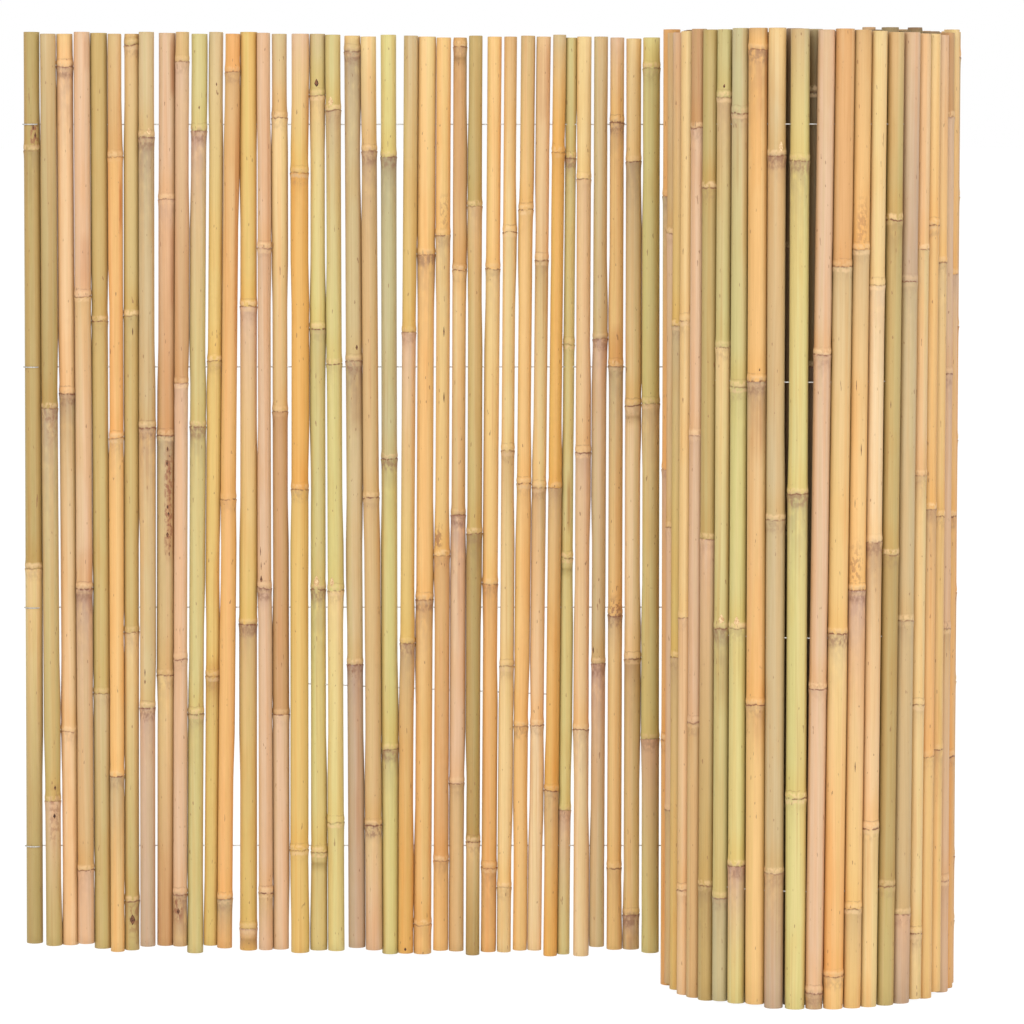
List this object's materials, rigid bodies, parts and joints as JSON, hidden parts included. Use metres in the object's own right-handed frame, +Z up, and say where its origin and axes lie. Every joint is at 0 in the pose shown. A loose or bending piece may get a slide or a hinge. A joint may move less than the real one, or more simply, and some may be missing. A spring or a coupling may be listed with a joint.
{
  "type": "roll-up bamboo cane fence",
  "caption": "Garden screen of upright whole bamboo canes threaded side by side on rows of wire, one end spread flat and the rest still wound in a standing roll.",
  "frame": {"origin": "on the ground, under the middle of the fence's box", "axes": "+Z up along the canes; +X along the flat stretch, from its free end towards the roll; +Y from the roll's front towards the flat stretch, which is the back"},
  "size_m": [1.0006, 0.3254, 1.0041],
  "materials": {
    "straw_bamboo": "bare weathered bamboo skin, satin, with cream knot rings and grey-brown stains",
    "honey_bamboo": "bare weathered bamboo skin, satin, with cream knot rings and grey-brown stains",
    "olive_bamboo": "bare weathered bamboo skin, satin, with cream knot rings and grey-brown stains",
    "rose_bamboo": "bare weathered bamboo skin, satin, with cream knot rings and grey-brown stains",
    "galvanised_wire": "dull galvanised steel wire"
  },
  "bodies": {
    "root": {"bottom_wire": "galvanised_wire", "cane_01": "honey_bamboo", "cane_02": "olive_bamboo", "cane_03": "straw_bamboo", "cane_04": "rose_bamboo", "cane_05": "olive_bamboo", "cane_06": "straw_bamboo", "cane_07": "olive_bamboo", "cane_08": "rose_bamboo", "cane_09": "honey_bamboo", "cane_10": "olive_bamboo", "cane_11": "olive_bamboo", "cane_12": "honey_bamboo", "cane_13": "honey_bamboo", "cane_14": "straw_bamboo", "cane_15": "rose_bamboo", "cane_16": "rose_bamboo", "cane_17": "olive_bamboo", "cane_18": "olive_bamboo", "cane_19": "olive_bamboo", "cane_20": "straw_bamboo", "cane_21": "straw_bamboo", "cane_22": "olive_bamboo", "cane_23": "straw_bamboo", "cane_24": "straw_bamboo", "cane_25": "honey_bamboo", "cane_26": "honey_bamboo", "cane_27": "olive_bamboo", "cane_28": "rose_bamboo", "cane_29": "straw_bamboo", "cane_30": "straw_bamboo", "cane_31": "rose_bamboo", "cane_32": "honey_bamboo", "cane_33": "olive_bamboo", "cane_34": "rose_bamboo", "cane_35": "honey_bamboo", "cane_36": "honey_bamboo", "cane_37": "straw_bamboo", "cane_38": "olive_bamboo", "cane_39": "straw_bamboo", "cane_40": "honey_bamboo", "cane_41": "olive_bamboo", "cane_42": "straw_bamboo", "cane_43": "rose_bamboo", "cane_44": "honey_bamboo", "cane_45": "straw_bamboo", "inner_turn_canes": "straw_bamboo", "lower_wire": "galvanised_wire", "outer_turn_canes": "straw_bamboo", "second_turn_canes": "straw_bamboo", "short_wire": "galvanised_wire", "top_wire": "galvanised_wire", "upper_wire": "galvanised_wire"}
  },
  "joints": []
}
